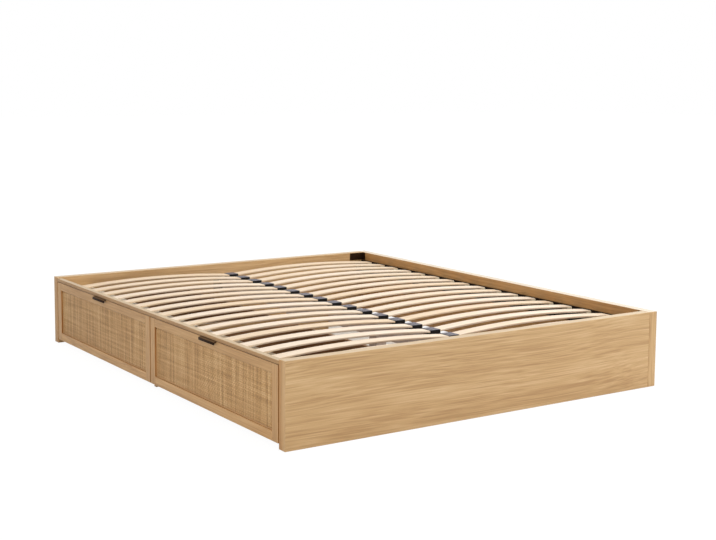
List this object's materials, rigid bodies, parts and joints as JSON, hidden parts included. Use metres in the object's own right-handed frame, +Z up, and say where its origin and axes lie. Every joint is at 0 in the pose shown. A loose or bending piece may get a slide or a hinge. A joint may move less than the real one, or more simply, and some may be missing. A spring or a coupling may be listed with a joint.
{
  "type": "platform bed",
  "caption": "Low platform bed with thick end panels, bowed slats in two rows on a middle beam, and cane-fronted drawers that slide out of one long side.",
  "frame": {"origin": "on the floor, at the middle of the outer box, drawer pulls included", "axes": "+Z up, +Y along the length from the foot to the head, drawers open towards -X"},
  "size_m": [1.734, 2.09, 0.304],
  "materials": {
    "oak_effect": "oak-effect facing, satin",
    "slat_beech": "bent laminated beech, satin",
    "beam_wood": "planed softwood, matt",
    "inner_board": "pale melamine-faced board",
    "drawer_board": "brown melamine-faced board",
    "dark_board": "dark stained batten",
    "woven_cane": "open woven cane",
    "cane_backing": "thin board behind the cane, matt",
    "natural_plastic": "moulded, matt",
    "black_plastic": "moulded, satin sheen",
    "dark_metal": "dark brown coating",
    "bronze_metal": "dark bronze coating",
    "zinc_steel": "zinc plated",
    "glide_rubber": "moulded rubber"
  },
  "bodies": {
    "frame": {"foot_panel": "oak_effect", "head_panel": "oak_effect", "closed_side_rail": "oak_effect", "drawer_side_rail": "oak_effect", "drawer_bay_ledge": "inner_board", "ledge_cleats": "inner_board", "side_rail_batten": "dark_board", "centre_beam": "beam_wood", "beam_hangers": "dark_metal", "centre_legs": "beam_wood", "leg_glides": "glide_rubber", "leg_bolts": "zinc_steel", "bay_divider": "oak_effect", "corner_brackets": "dark_metal", "frame_screws": "dark_metal", "frame_dowels": "slat_beech", "cam_bolts": "zinc_steel", "cams": "zinc_steel", "slats_drawer_side": "slat_beech", "slats_closed_side": "slat_beech", "slat_end_seats": "natural_plastic", "slat_centre_holders": "black_plastic", "foot_slide_outer": "zinc_steel", "head_slide_outer": "zinc_steel", "slide_mount_screws": "zinc_steel"},
    "foot_drawer": {"foot_drawer_top_member": "oak_effect", "foot_drawer_bottom_member": "oak_effect", "foot_drawer_end_stile": "oak_effect", "foot_drawer_middle_stile": "oak_effect", "foot_drawer_cane": "woven_cane", "foot_drawer_cane_backing": "cane_backing", "foot_drawer_dowels": "slat_beech", "foot_drawer_box_front": "drawer_board", "foot_drawer_end_side": "drawer_board", "foot_drawer_middle_side": "drawer_board", "foot_drawer_box_back": "drawer_board", "foot_drawer_bottom": "drawer_board", "foot_drawer_pull": "bronze_metal", "foot_drawer_screws": "zinc_steel", "foot_drawer_fittings": "zinc_steel", "foot_slide_inner": "zinc_steel"},
    "head_drawer": {"head_drawer_top_member": "oak_effect", "head_drawer_bottom_member": "oak_effect", "head_drawer_end_stile": "oak_effect", "head_drawer_middle_stile": "oak_effect", "head_drawer_cane": "woven_cane", "head_drawer_cane_backing": "cane_backing", "head_drawer_dowels": "slat_beech", "head_drawer_box_front": "drawer_board", "head_drawer_end_side": "drawer_board", "head_drawer_middle_side": "drawer_board", "head_drawer_box_back": "drawer_board", "head_drawer_bottom": "drawer_board", "head_drawer_pull": "bronze_metal", "head_drawer_screws": "zinc_steel", "head_drawer_fittings": "zinc_steel", "head_slide_inner": "zinc_steel"},
    "foot_slide_middles": {"foot_slide_middle": "zinc_steel"},
    "head_slide_middles": {"head_slide_middle": "zinc_steel"}
  },
  "joints": [
    {"name": "foot_drawer_run", "type": "slide", "parent": "frame", "child": "foot_drawer", "axis": [-1, 0, 0], "range_m": [0, 0.56]},
    {"name": "foot_slide_run", "type": "slide", "parent": "frame", "child": "foot_slide_middles", "axis": [-1, 0, 0], "range_m": [0, 0.28]},
    {"name": "head_drawer_run", "type": "slide", "parent": "frame", "child": "head_drawer", "axis": [-1, 0, 0], "range_m": [0, 0.56]},
    {"name": "head_slide_run", "type": "slide", "parent": "frame", "child": "head_slide_middles", "axis": [-1, 0, 0], "range_m": [0, 0.28]}
  ],
  "couplings": [
    {"joint": "foot_slide_run", "follows": "foot_drawer_run", "ratio": 0.5},
    {"joint": "head_slide_run", "follows": "head_drawer_run", "ratio": 0.5}
  ]
}
